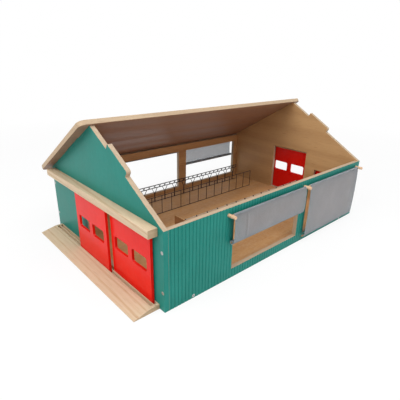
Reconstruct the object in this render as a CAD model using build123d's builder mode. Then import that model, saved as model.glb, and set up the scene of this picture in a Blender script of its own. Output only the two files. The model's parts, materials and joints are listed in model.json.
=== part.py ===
from build123d import *
import os
from math import atan2, cos, degrees, hypot, pi, sin, sqrt

# Wooden toy barn: a floor board, two gables and two grooved side walls, doors that slide in grooved
# rails, one roof panel that lifts off its tabs, and cloth curtains that roll up over the side windows.
# Millimetres. X runs across the barn, Y from the front gable to the rear gable, and Z up. The origin
# lies on the ground, under the middle of the barn's outline seen from above.

# ---------------------------------------------------------------- driving dimensions

# Body
barn_width = 415.0
barn_length = 610.0
wall_height = 144.0
apex_height = 266.0
board = 9.0
groove_pitch = 7.4
groove_width = 1.6
groove_depth = 0.9

# Roof panel, and the tabs of the gables that hold it
roof_board = 9.0
roof_overhang = 19.4
roof_eave = 18.0
ridge_lap = 5.5
roof_corner = 13.0
tab_start = 61.0
tab_length = 66.0
tab_height = 10.5
tab_corner = 5.0
slot_clearance = 0.4

# Doorways in the gables
doorway_left = -50.0
doorway_width = 222.0
rear_doorway_left = -48.0
rear_doorway_width = 109.6
doorway_top = 137.0
hatch_left = 92.5
hatch_width = 40.0
hatch_top = 94.0

# Side windows, measured from the front gable's outer face
window_length = 204.0
window_bottom = 19.0
window_top = 125.0
window_starts = (151.0, 382.0)

# Sliding doors and their panes
door_width = 121.4
door_thickness = 4.8
left_door_left = -66.0
right_door_left = 60.0
rear_door_left = -58.6
pane_width = 43.4
pane_height = 25.0
pane_gap = 12.2
front_pane_bottom = 60.0
rear_pane_bottom = 65.0
pane_corner = 4.0
hatch_door_width = 48.0

# Rails over the doors, and the grooved ramp and sill under them
rail_half_length = 193.5
rail_bottom = 131.5
rail_height = 14.0
rail_roof = 5.0
track_clearance = 0.4
back_lip = 1.2
track_fin = 1.5
front_lip = 4.1
track_stop = 6.0
door_headroom = 1.5
door_footroom = 0.3
track_floor = 3.0
ramp_depth = 49.0
ramp_back_height = 9.0
ramp_tread = 15.5
ramp_front_height = 1.2
sill_depth = 12.0
rear_rail_right = 84.0
hatch_rail_right = 192.0
hatch_rail_height = 12.0
hatch_rail_roof = 4.0
hatch_door_gap = 0.5

# Pegs in the side walls, and the rods that they carry
peg_radius = 3.2
peg_reach = 17.0
peg_depth = 7.0
peg_fit = 0.05
peg_chamfer = 0.8
first_peg = 137.0
peg_spacing = 228.0
peg_height = 131.0
rod_radius = 1.75
rod_offset = 6.2
rod_end_inset = 0.4

# Curtains: cloth hung from a rod, rolled up round a hem rod
cloth = 0.5
sleeve_slack = 0.75
curtain_side_gap = 1.8
curtain_lowest = 12.5
curtain_half_raised = 75.0
curtain_raised = 118.0
fold_count = 6
fold_depth = 0.8
hem_rod_radius = 1.5
hem_rod_stub = 0.8
hem_rod_fit = 0.1
roll_layer_gap = 0.25
roll_wall_gap = 0.5
soft_clearance = 0.3

# Pens inside: three wire fences and a short board
fence_height = 48.0
fence_wire = 1.8
fence_rail = 2.2
feed_fence_x = -166.0
feed_fence_start = 160.0
feed_place = 34.0
feed_places = 12
feed_band = 9.5
feed_link_width = 13.6
feed_link_corner = 1.6
feed_neck_height = 14.0
feed_neck_spread = 15.0
stall_fence_x = -93.0
stall_fence_start = 154.0
stall_bar_pitch = 30.5
stall_bars = 14
alley_fence_x = 52.5
alley_fence_start = 171.0
alley_post_pitch = 31.7
alley_posts = 14
alley_knob_radius = 1.7
alley_rail_levels = (1.1, 24.0)
pen_board_left = 20.5
pen_board_width = 36.0
pen_board_thickness = 3.0
pen_board_front = 166.6

# Screws
screw_radius = 1.5
screw_head_radius = 3.0
screw_length = 25.0
screw_sides = 8
screw_fit = 0.05
countersink_depth = 1.7
gable_screw_heights = (35.0, 107.0)
floor_screw_starts = (60.0, 550.0)

# ---------------------------------------------------------------- places worked out from them

half_width = barn_width / 2
pitch = atan2(apex_height - wall_height, half_width)
slope_length = hypot(half_width, apex_height - wall_height)
front_y = -(barn_length + roof_overhang - ramp_depth) / 2
rear_y = front_y + barn_length
inner_half_width = half_width - board
inner_length = barn_length - 2 * board

track_width = door_thickness + 2 * track_clearance
inner_track = back_lip + track_width / 2
outer_track = inner_track + track_width + track_fin
rail_depth = back_lip + 2 * track_width + track_fin + front_lip
rear_rail_depth = back_lip + track_width + front_lip
track_top = rail_bottom + rail_height - rail_roof
door_bottom = track_floor + door_footroom
door_height = track_top - door_headroom - door_bottom
hatch_track_top = hatch_top + hatch_rail_height - hatch_rail_roof
hatch_door_height = hatch_track_top - door_headroom - door_bottom
hatch_track_left = hatch_left - (hatch_door_width - hatch_width) / 2 - hatch_door_gap
hatch_rail_left = hatch_track_left - (hatch_track_left - rear_rail_right) / 2

peg_ys = [front_y + first_peg + i * peg_spacing for i in range(3)]
sleeve_radius = rod_radius + sleeve_slack + cloth
curtain_width = peg_spacing - 2 * (peg_radius + curtain_side_gap)
cloth_top = peg_height - sleeve_radius
floor_top = board
fence_top = floor_top + fence_height

front_dir = Vector(0, -1, 0)
rear_dir = Vector(0, 1, 0)


def facade(y):
    """A plane square to Y, whose sketch coordinates are the barn's X and Z."""
    return Plane(origin=(0, y, 0), x_dir=(1, 0, 0), z_dir=front_dir)


def side_view(x):
    """A plane square to X, whose sketch coordinates are the barn's Y and Z."""
    return Plane(origin=(x, 0, 0), x_dir=(0, 1, 0), z_dir=(1, 0, 0))


def facing(x, y, z, outward):
    """A place whose own Z axis points outward."""
    return Plane(origin=(x, y, z), z_dir=outward).location


def write(builder, name):
    """Label a finished piece and write it as its own file."""
    builder.part.label = name
    export_step(builder.part, f"parts/{name}.step")


os.makedirs("parts", exist_ok=True)

# ---------------------------------------------------------------- screws, and where they go

screw_x = half_width - board / 2
gable_screw_places = [
    facing(side * screw_x, y, height, outward)
    for y, outward in ((front_y, front_dir), (rear_y, rear_dir))
    for side in (-1, 1)
    for height in gable_screw_heights
]
floor_screw_places = [
    facing(side * half_width, front_y + start, board / 2, (side, 0, 0))
    for side in (-1, 1)
    for start in floor_screw_starts
]


def countersunk_shape(room):
    """A countersunk screw that points down from the origin, with some room all round it."""
    shank_plane = Plane.XY.offset(-countersink_depth)
    with BuildPart() as shape:
        with BuildSketch():
            RegularPolygon(screw_head_radius + room, screw_sides)
        with BuildSketch(shank_plane):
            RegularPolygon(screw_radius + room, screw_sides)
        loft()
        with BuildSketch(shank_plane) as shank:
            RegularPolygon(screw_radius + room, screw_sides)
        extrude(shank.sketch, amount=countersink_depth - screw_length - room)
    return shape.part


with BuildPart() as gable_screws:
    with Locations(*gable_screw_places):
        add(countersunk_shape(0))
write(gable_screws, "gable_screws")

with BuildPart() as floor_screws:
    with Locations(*floor_screw_places):
        add(countersunk_shape(0))
write(floor_screws, "floor_screws")


def drill_screw_holes(places):
    """Cut the countersunk clearance holes of the screws into the piece being built."""
    with Locations(*places):
        add(countersunk_shape(screw_fit), mode=Mode.SUBTRACT)


# ---------------------------------------------------------------- floor and gables

with BuildPart() as floor_board:
    with BuildSketch():
        with Locations((0, (front_y + rear_y) / 2)):
            Rectangle(2 * inner_half_width, inner_length)
    extrude(amount=board)
    drill_screw_holes(floor_screw_places)
write(floor_board, "floor_board")


def on_slope(along, off, side):
    """A gable point, measured down the slope from the apex and off it, on the side -1 or 1."""
    x = along * cos(pitch) + off * sin(pitch)
    return (side * x, apex_height - along * sin(pitch) + off * cos(pitch))


def gable_face(openings):
    """A gable's outline with its two tabs, less openings given as left, width and top."""
    with BuildSketch() as face:
        with BuildLine():
            Polyline(
                (-half_width, 0),
                (half_width, 0),
                (half_width, wall_height),
                (0, apex_height),
                (-half_width, wall_height),
                close=True,
            )
        make_face()
        for side in (-1, 1):
            with BuildLine():
                Polyline(
                    on_slope(tab_start, -board, side),
                    on_slope(tab_start, tab_height, side),
                    on_slope(tab_start + tab_length, tab_height, side),
                    on_slope(tab_start + tab_length, -board, side),
                    close=True,
                )
            make_face()
        for side in (-1, 1):
            low_corner = on_slope(tab_start + tab_length, tab_height, side)
            fillet(face.vertices().sort_by_distance(low_corner)[0], radius=tab_corner)
        for left, width, top in openings:
            with Locations((left, floor_top)):
                Rectangle(width, top - floor_top, align=(Align.MIN, Align.MIN), mode=Mode.SUBTRACT)
    return face.sketch


with BuildPart() as front_gable:
    with BuildSketch(facade(front_y)):
        add(gable_face([(doorway_left, doorway_width, doorway_top)]))
    extrude(amount=board, dir=rear_dir)
    drill_screw_holes(gable_screw_places)
write(front_gable, "front_gable")

rear_openings = [
    (rear_doorway_left, rear_doorway_width, doorway_top),
    (hatch_left, hatch_width, hatch_top),
]
with BuildPart() as rear_gable:
    with BuildSketch(facade(rear_y)):
        add(gable_face(rear_openings))
    extrude(amount=board, dir=front_dir)
    drill_screw_holes(gable_screw_places)
write(rear_gable, "rear_gable")

# ---------------------------------------------------------------- side walls, pegs and rods

groove_count = int(inner_length / groove_pitch)
first_groove = (front_y + rear_y) / 2 - (groove_count - 1) * groove_pitch / 2


def wall_plan(side):
    """A side wall seen from above, with a row of V grooves along its outer face."""
    outer = side * half_width
    inner = side * inner_half_width
    bottom_of_groove = side * (half_width - groove_depth)
    points = [(inner, front_y + board), (outer, front_y + board)]
    for i in range(groove_count):
        y = first_groove + i * groove_pitch
        points += [(outer, y - groove_width / 2), (bottom_of_groove, y), (outer, y + groove_width / 2)]
    points += [(outer, rear_y - board), (inner, rear_y - board)]
    with BuildSketch() as plan:
        with BuildLine():
            Polyline(*points, close=True)
        make_face()
    return plan.sketch


for side, side_name in ((-1, "left"), (1, "right")):
    outward = (side, 0, 0)
    rod_x = side * (half_width + rod_offset)
    with BuildPart() as wall:
        with BuildSketch():
            add(wall_plan(side))
        extrude(amount=wall_height)
        with BuildSketch(side_view(side * inner_half_width)):
            for start in window_starts:
                with Locations((front_y + start, window_bottom)):
                    Rectangle(window_length, window_top - window_bottom, align=(Align.MIN, Align.MIN))
        extrude(amount=board, dir=outward, mode=Mode.SUBTRACT)
        with Locations(*[facing(side * half_width, y, peg_height, outward) for y in peg_ys]):
            Hole(radius=peg_radius + peg_fit, depth=peg_depth)
        drill_screw_holes(gable_screw_places + floor_screw_places)
    write(wall, f"{side_name}_wall")

    with BuildPart() as pegs:
        with Locations(*[facing(side * (half_width - peg_depth), y, peg_height, outward) for y in peg_ys]):
            Cylinder(peg_radius, peg_depth + peg_reach, align=(Align.CENTER, Align.CENTER, Align.MIN))
        ends = pegs.edges().filter_by(GeomType.CIRCLE).group_by(Axis.X)
        chamfer(ends[-1 if side > 0 else 0], length=peg_chamfer)
        with Locations(facing(rod_x, peg_ys[0] - peg_reach, peg_height, rear_dir)):
            Cylinder(
                rod_radius + peg_fit,
                2 * peg_spacing + 2 * peg_reach,
                align=(Align.CENTER, Align.CENTER, Align.MIN),
                mode=Mode.SUBTRACT,
            )
    write(pegs, f"{side_name}_pegs")

    with BuildPart() as curtain_rod:
        with Locations(facing(rod_x, peg_ys[0] - peg_radius + rod_end_inset, peg_height, rear_dir)):
            Cylinder(
                rod_radius,
                2 * (peg_spacing + peg_radius - rod_end_inset),
                align=(Align.CENTER, Align.CENTER, Align.MIN),
            )
    write(curtain_rod, f"{side_name}_curtain_rod")

# ---------------------------------------------------------------- curtains


def roll_radius(hem_height):
    """Radius of the roll whose underside hangs at a height, from the length of cloth wound on it."""
    wound = hem_height - curtain_lowest
    return sqrt((hem_rod_radius + 2 * cloth) ** 2 + wound * cloth / pi)


def hanging_cloth_plan(side, near, start_y):
    """The cloth seen from above, outside a plane: arcs that swing out and in, one for each fold."""
    fold = curtain_width / fold_count
    middle = near + fold_depth / 2
    with BuildSketch() as plan:
        with BuildLine():
            for face_x in (middle, middle + cloth):
                for i in range(fold_count):
                    swing = fold_depth / 2 if i % 2 == 0 else -fold_depth / 2
                    y = start_y + i * fold
                    ThreePointArc(
                        (side * face_x, y),
                        (side * (face_x + swing), y + fold / 2),
                        (side * face_x, y + fold),
                    )
            for y in (start_y, start_y + curtain_width):
                Line((side * middle, y), (side * (middle + cloth), y))
        make_face()
    return plan.sketch


curtains = (
    (-1, "left_front", 0, curtain_raised),
    (-1, "left_rear", 1, curtain_half_raised),
    (1, "right_front", 0, curtain_half_raised),
    (1, "right_rear", 1, curtain_lowest),
)
for side, place, bay, hem_height in curtains:
    start_y = peg_ys[bay] + peg_radius + curtain_side_gap
    radius = roll_radius(hem_height)
    roll_offset = max(radius + roll_wall_gap, rod_offset + sleeve_radius - radius)
    roll_x = side * (half_width + roll_offset)
    roll_z = hem_height + radius
    step = cloth + roll_layer_gap

    with BuildPart() as sleeve:
        with BuildSketch(facade(start_y)):
            with Locations((side * (half_width + rod_offset), peg_height)):
                Circle(sleeve_radius)
                Circle(sleeve_radius - cloth, mode=Mode.SUBTRACT)
        extrude(amount=curtain_width, dir=rear_dir)
    write(sleeve, f"{place}_curtain_sleeve")

    with BuildPart() as curtain:
        if roll_z + radius + sleeve_radius < cloth_top:
            with BuildSketch(Plane.XY.offset(roll_z + soft_clearance)):
                add(hanging_cloth_plan(side, half_width + roll_offset + radius - cloth, start_y))
            extrude(amount=cloth_top - roll_z - soft_clearance)
        else:
            # Rolled right up, the last of the cloth lies over the outer side of the roll.
            with BuildSketch(facade(start_y)):
                with Locations((roll_x, roll_z)):
                    Circle(radius + soft_clearance + cloth)
                    Circle(radius + soft_clearance, mode=Mode.SUBTRACT)
                with Locations((roll_x, roll_z + soft_clearance)):
                    Rectangle(
                        2 * radius,
                        cloth_top - roll_z - 2 * soft_clearance,
                        align=(Align.MIN if side > 0 else Align.MAX, Align.MIN),
                        mode=Mode.INTERSECT,
                    )
            extrude(amount=curtain_width, dir=rear_dir)
    write(curtain, f"{place}_curtain")

    with BuildPart() as roll:
        with BuildSketch(facade(start_y)):
            with BuildLine():
                start = (roll_x + side * radius, roll_z)
                back = (roll_x - side * (radius - step / 2), roll_z)
                end = (roll_x + side * (radius - step), roll_z)
                ThreePointArc(start, (roll_x + side * step / 4, roll_z - radius + step / 4), back)
                ThreePointArc(back, (roll_x - side * step / 4, roll_z + radius - 3 * step / 4), end)
                Line(end, start)
            make_face()
            with Locations((roll_x, roll_z)):
                Circle(hem_rod_radius + hem_rod_fit, mode=Mode.SUBTRACT)
        extrude(amount=curtain_width, dir=rear_dir)
    write(roll, f"{place}_curtain_roll")

    with BuildPart() as hem_rod:
        with Locations(facing(roll_x, start_y - hem_rod_stub, roll_z, rear_dir)):
            Cylinder(
                hem_rod_radius,
                curtain_width + 2 * hem_rod_stub,
                align=(Align.CENTER, Align.CENTER, Align.MIN),
            )
    write(hem_rod, f"{place}_hem_rod")

# ---------------------------------------------------------------- rails, ramp and sill


def cut_tracks(bottom, top, tracks):
    """Cut upright grooves between two levels, each given as left, right and the Y of its middle."""
    with BuildSketch(Plane.XY.offset(bottom)) as grooves:
        for left, right, middle_y in tracks:
            with Locations(((left + right) / 2, middle_y)):
                Rectangle(right - left, track_width)
    extrude(grooves.sketch, amount=top - bottom, mode=Mode.SUBTRACT)


long_track = (track_stop - rail_half_length, rail_half_length - track_stop)
front_tracks = [(*long_track, front_y - inner_track), (*long_track, front_y - outer_track)]
rear_track = (long_track[0], rear_rail_right - track_stop, rear_y + inner_track)
hatch_track = (hatch_track_left, hatch_rail_right - track_stop, rear_y + inner_track)

with BuildPart() as front_rail:
    with BuildSketch(side_view(-rail_half_length)):
        with Locations((front_y, rail_bottom)):
            Rectangle(rail_depth, rail_height, align=(Align.MAX, Align.MIN))
    extrude(amount=2 * rail_half_length)
    cut_tracks(rail_bottom, track_top, front_tracks)
write(front_rail, "front_rail")

with BuildPart() as front_ramp:
    with BuildSketch(side_view(-rail_half_length)):
        with BuildLine():
            Polyline(
                (front_y, 0),
                (front_y, ramp_back_height),
                (front_y - ramp_tread, ramp_back_height),
                (front_y - ramp_depth, ramp_front_height),
                (front_y - ramp_depth, 0),
                close=True,
            )
        make_face()
    extrude(amount=2 * rail_half_length)
    cut_tracks(track_floor, ramp_back_height, front_tracks)
write(front_ramp, "front_ramp")

with BuildPart() as rear_rail:
    with BuildSketch(side_view(-rail_half_length)):
        with Locations((rear_y, rail_bottom)):
            Rectangle(rear_rail_depth, rail_height, align=(Align.MIN, Align.MIN))
    extrude(amount=rail_half_length + rear_rail_right)
    cut_tracks(rail_bottom, track_top, [rear_track])
write(rear_rail, "rear_rail")

with BuildPart() as hatch_rail:
    with BuildSketch(side_view(hatch_rail_left)):
        with Locations((rear_y, hatch_top)):
            Rectangle(rear_rail_depth, hatch_rail_height, align=(Align.MIN, Align.MIN))
    extrude(amount=hatch_rail_right - hatch_rail_left)
    cut_tracks(hatch_top, hatch_track_top, [hatch_track])
write(hatch_rail, "hatch_rail")

with BuildPart() as rear_sill:
    with BuildSketch(side_view(-rail_half_length)):
        with BuildLine():
            Polyline(
                (rear_y, 0),
                (rear_y, ramp_back_height),
                (rear_y + rear_rail_depth, ramp_back_height),
                (rear_y + sill_depth, ramp_back_height - (sill_depth - rear_rail_depth)),
                (rear_y + sill_depth, 0),
                close=True,
            )
        make_face()
    extrude(amount=rail_half_length + hatch_rail_right)
    cut_tracks(track_floor, ramp_back_height, [rear_track, hatch_track])
write(rear_sill, "rear_sill")

# ---------------------------------------------------------------- doors


def door_face(left, width, height, pane_bottom):
    """A door's outline, with two rounded panes side by side if a level for them is given."""
    middle = left + width / 2
    with BuildSketch() as face:
        with Locations((middle, door_bottom + height / 2)):
            Rectangle(width, height)
        if pane_bottom:
            with Locations((middle, pane_bottom + pane_height / 2)):
                with GridLocations(pane_width + pane_gap, 0, 2, 1):
                    RectangleRounded(pane_width, pane_height, pane_corner, mode=Mode.SUBTRACT)
    return face.sketch


doors = (
    (
        "front_left_door",
        left_door_left,
        door_width,
        door_height,
        front_pane_bottom,
        front_y - outer_track,
    ),
    (
        "front_right_door",
        right_door_left,
        door_width,
        door_height,
        front_pane_bottom,
        front_y - inner_track,
    ),
    ("rear_door", rear_door_left, door_width, door_height, rear_pane_bottom, rear_y + inner_track),
    (
        "hatch_door",
        hatch_track_left + hatch_door_gap,
        hatch_door_width,
        hatch_door_height,
        None,
        rear_y + inner_track,
    ),
)
for name, left, width, height, pane_bottom, track_y in doors:
    with BuildPart() as door:
        with BuildSketch(facade(track_y - door_thickness / 2)):
            add(door_face(left, width, height, pane_bottom))
        extrude(amount=door_thickness, dir=rear_dir)
    write(door, name)

# ---------------------------------------------------------------- roof panel

roof_plane = Plane(
    origin=(0, 0, apex_height),
    x_dir=(-cos(pitch), 0, -sin(pitch)),
    z_dir=(-sin(pitch), 0, cos(pitch)),
)
roof_length = barn_length + 2 * roof_overhang

with BuildPart() as roof_panel:
    with BuildSketch(roof_plane) as panel:
        with Locations(((slope_length + roof_eave - ridge_lap) / 2, -(front_y + rear_y) / 2)):
            Rectangle(slope_length + roof_eave + ridge_lap, roof_length)
        fillet(panel.vertices(), radius=roof_corner)
        for gable_y in (front_y + board / 2, rear_y - board / 2):
            with Locations((tab_start + tab_length / 2, -gable_y)):
                Rectangle(
                    tab_length + 2 * slot_clearance,
                    board + 2 * slot_clearance,
                    mode=Mode.SUBTRACT,
                )
    extrude(amount=roof_board)
write(roof_panel, "roof_panel")

# ---------------------------------------------------------------- pens

feed_start = front_y + feed_fence_start
feed_length = feed_places * feed_place
band_bottom = fence_top - feed_band
neck_bottom = band_bottom - feed_neck_height
with BuildSketch() as link_opening:
    Rectangle(feed_link_width, feed_band - 2 * fence_rail)
    chamfer(link_opening.vertices(), length=feed_link_corner)

with BuildPart() as feed_fence:
    with BuildSketch(side_view(feed_fence_x - fence_wire / 2)):
        with Locations((feed_start, band_bottom)):
            Rectangle(feed_length, feed_band, align=(Align.MIN, Align.MIN))
        with Locations((feed_start, floor_top)):
            Rectangle(feed_length, fence_rail, align=(Align.MIN, Align.MIN))
        with Locations((feed_start + feed_length / 2, fence_top - feed_band / 2)):
            with GridLocations(feed_place / 2, 0, 2 * feed_places, 1):
                add(link_opening.sketch, mode=Mode.SUBTRACT)
        for i in range(feed_places):
            middle_y = feed_start + (i + 0.5) * feed_place
            with BuildLine():
                Line((middle_y, floor_top), (middle_y, neck_bottom))
                Line((middle_y, neck_bottom), (middle_y - feed_neck_spread / 2, band_bottom))
                Line((middle_y, neck_bottom), (middle_y + feed_neck_spread / 2, band_bottom))
            trace(line_width=fence_wire)
        with Locations((feed_start, floor_top)):
            Rectangle(feed_length, fence_height, align=(Align.MIN, Align.MIN), mode=Mode.INTERSECT)
    extrude(amount=fence_wire)
write(feed_fence, "feed_fence")

stall_start = front_y + stall_fence_start
stall_length = (stall_bars - 1) * stall_bar_pitch + fence_wire
with BuildPart() as stall_fence:
    with BuildSketch(side_view(stall_fence_x - fence_wire / 2)):
        for rail_bottom_z in (floor_top, fence_top - fence_rail):
            with Locations((stall_start, rail_bottom_z)):
                Rectangle(stall_length, fence_rail, align=(Align.MIN, Align.MIN))
        for i in range(stall_bars):
            with Locations((stall_start + i * stall_bar_pitch, floor_top)):
                Rectangle(fence_wire, fence_height, align=(Align.MIN, Align.MIN))
    extrude(amount=fence_wire)
write(stall_fence, "stall_fence")

alley_start = front_y + alley_fence_start
alley_length = (alley_posts - 1) * alley_post_pitch
post_ys = [alley_start + i * alley_post_pitch for i in range(alley_posts)]
with BuildPart() as alley_fence:
    with BuildSketch(side_view(alley_fence_x - fence_wire / 2)):
        for level in (*alley_rail_levels, fence_height - fence_rail / 2):
            with Locations((alley_start + alley_length / 2, floor_top + level)):
                Rectangle(alley_length, fence_rail)
        for y in post_ys:
            with Locations((y, floor_top)):
                Rectangle(fence_wire, fence_height, align=(Align.CENTER, Align.MIN))
    extrude(amount=fence_wire)
    with BuildSketch(Plane.XY.offset(fence_top - fence_rail)):
        for y in post_ys:
            with Locations((alley_fence_x, y)):
                RegularPolygon(alley_knob_radius, 8)
    extrude(amount=fence_rail + fence_wire / 2)
write(alley_fence, "alley_fence")

with BuildPart() as pen_board:
    with BuildSketch(facade(front_y + pen_board_front)):
        with Locations((pen_board_left, floor_top)):
            Rectangle(pen_board_width, fence_height, align=(Align.MIN, Align.MIN))
    extrude(amount=pen_board_thickness, dir=rear_dir)
write(pen_board, "pen_board")

print(f"roof pitch {degrees(pitch):.2f} degrees, door height {door_height:.1f}")
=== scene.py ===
"""Looks of a wooden toy barn with sliding doors, a lift-off roof panel and roll-up cloth curtains.

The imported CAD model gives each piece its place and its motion. Boards are copied from it and get
eased edges, bare or painted faces and grain. The wire pens, the screws and the cloth are modelled here.
Lengths are metres. X runs across the barn, Y from the front gable to the rear gable, and Z up.
"""

from __future__ import annotations

import json
import logging
import math
from dataclasses import dataclass
from enum import Enum, IntEnum
from functools import reduce
from typing import Any, Callable, Iterator, Sequence

import bpy
import mathutils
from mathutils import Matrix, Vector

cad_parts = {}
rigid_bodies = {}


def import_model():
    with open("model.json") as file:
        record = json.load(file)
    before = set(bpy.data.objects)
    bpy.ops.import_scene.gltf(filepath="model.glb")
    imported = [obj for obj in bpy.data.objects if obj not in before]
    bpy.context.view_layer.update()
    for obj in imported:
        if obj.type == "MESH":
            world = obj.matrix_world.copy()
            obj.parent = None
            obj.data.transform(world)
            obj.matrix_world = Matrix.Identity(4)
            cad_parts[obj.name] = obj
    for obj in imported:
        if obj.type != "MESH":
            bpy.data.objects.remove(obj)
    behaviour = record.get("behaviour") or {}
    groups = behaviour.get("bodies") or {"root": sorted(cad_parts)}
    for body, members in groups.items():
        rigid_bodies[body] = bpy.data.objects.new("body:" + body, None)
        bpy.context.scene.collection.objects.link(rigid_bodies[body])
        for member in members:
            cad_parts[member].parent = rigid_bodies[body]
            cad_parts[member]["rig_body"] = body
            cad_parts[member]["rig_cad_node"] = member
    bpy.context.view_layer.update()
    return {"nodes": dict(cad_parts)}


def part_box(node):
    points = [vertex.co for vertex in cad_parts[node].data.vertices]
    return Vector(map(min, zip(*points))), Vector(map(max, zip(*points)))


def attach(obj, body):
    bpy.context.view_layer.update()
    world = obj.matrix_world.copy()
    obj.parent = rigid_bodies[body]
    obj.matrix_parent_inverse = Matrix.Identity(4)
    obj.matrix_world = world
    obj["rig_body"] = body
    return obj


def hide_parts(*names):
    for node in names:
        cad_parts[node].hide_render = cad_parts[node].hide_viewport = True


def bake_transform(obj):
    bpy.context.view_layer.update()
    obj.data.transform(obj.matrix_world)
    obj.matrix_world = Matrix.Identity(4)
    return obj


log = logging.getLogger("toy_barn")

Color = tuple[float, float, float, float]
Point = tuple[float, float, float]
Piece = bpy.types.Object
Chooser = Callable[[Vector, Vector], int]
Test = Callable[[Vector, Vector], bool]


def rgb(red: float, green: float, blue: float) -> Color:
    """Turn a display colour into a linear one.

    Args:
        red: How red the display shows it, 0 to 255.
        green: How green.
        blue: How blue.

    Returns:
        The colour in linear light, opaque.
    """

    def linear(value: float) -> float:
        """Return one channel as linear light."""
        share = value / 255
        return share / 12.92 if share <= 0.04045 else ((share + 0.055) / 1.055) ** 2.4

    return (linear(red), linear(green), linear(blue), 1.0)


# ------------------------------------------------------------------ shader trees


class Tree:
    """Short calls for adding nodes to one node tree and joining them."""

    def __init__(self, tree: bpy.types.NodeTree) -> None:
        """Keep the tree that the nodes go into."""
        self.tree = tree

    def put(self, node: bpy.types.Node, inputs: dict[str | int, Any]) -> None:
        """Set or feed some of a node's inputs.

        Args:
            node: The node.
            inputs: For each socket's name or number, its own value or the output that feeds it.
        """
        for key, value in inputs.items():
            if isinstance(value, bpy.types.NodeSocket):
                self.tree.links.new(value, node.inputs[key])
            else:
                node.inputs[key].default_value = value

    def add(
        self, kind: str, inputs: dict[str | int, Any] | None = None, **settings: Any
    ) -> bpy.types.Node:
        """Add a node.

        Args:
            kind: The node's type name.
            inputs: What goes into its inputs, as for put.
            settings: The node's own properties.

        Returns:
            The new node.
        """
        node = self.tree.nodes.new(kind)
        for name, value in settings.items():
            setattr(node, name, value)
        self.put(node, inputs or {})
        return node

    def noise(self, vector: Any, scale: Any, detail: float, roughness: float = 0.5) -> Any:
        """Return the value of a noise texture."""
        inputs = {"Vector": vector, "Scale": scale, "Detail": detail, "Roughness": roughness}
        return self.add("ShaderNodeTexNoise", inputs).outputs[0]

    def stretched(self, vector: Any, scale: Point) -> Any:
        """Return coordinates scaled along each axis."""
        return self.add("ShaderNodeMapping", {"Vector": vector, "Scale": scale}).outputs[0]

    def math(self, operation: str, first: Any, second: Any = 0.0, clamp: bool = False) -> Any:
        """Return the result of a Math node on two values."""
        inputs = {0: first, 1: second}
        return self.add("ShaderNodeMath", inputs, operation=operation, use_clamp=clamp).outputs[0]

    def times(self, first: Any, second: Any) -> Any:
        """Return the product of two values."""
        return self.math("MULTIPLY", first, second)

    def plus(self, first: Any, second: Any) -> Any:
        """Return the sum of two values."""
        return self.math("ADD", first, second)

    def weighed(self, *terms: tuple[Any, float]) -> Any:
        """Return the sum of some values, each times its weight."""
        return reduce(self.plus, [self.times(value, weight) for value, weight in terms])

    def remap(self, value: Any, low: Any, high: Any, to_low: Any = 0.0, to_high: Any = 1.0) -> Any:
        """Return a value moved from one range to another, and held inside it."""
        inputs = {0: value, 1: low, 2: high, 3: to_low, 4: to_high}
        return self.add("ShaderNodeMapRange", inputs).outputs[0]

    def mix(self, factor: Any, first: Any, second: Any, blend: str = "MIX") -> Any:
        """Return two colours mixed by a factor."""
        inputs = {0: factor, 6: first, 7: second}
        return self.add("ShaderNodeMix", inputs, data_type="RGBA", blend_type=blend).outputs[2]

    def place(self, effect: Effect, **inputs: Any) -> Any:
        """Place a shared effect with what goes into its inputs, and return its outputs."""
        group = bpy.data.node_groups[effect.value]
        return self.add("ShaderNodeGroup", inputs, node_tree=group, label=effect.value).outputs

    def bump(self, height: Any, distance: float) -> Any:
        """Return a normal bent by a height."""
        return self.add("ShaderNodeBump", {"Height": height, "Distance": distance}).outputs[0]


def empty_tree(holder: bpy.types.ID) -> Tree:
    """Give a material or a world a node tree with nothing in it.

    Args:
        holder: The material or the world.

    Returns:
        Its tree.
    """
    holder.use_nodes = True
    holder.node_tree.nodes.clear()
    return Tree(holder.node_tree)


class Effect(Enum):
    """The shared effects, each one a node group of that name."""

    GRAIN = "wood_grain"
    FILM = "paint_film"
    WEAVE = "plain_weave"
    DUST = "settled_dust"
    RUBBED = "rubbed_edge"


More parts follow.
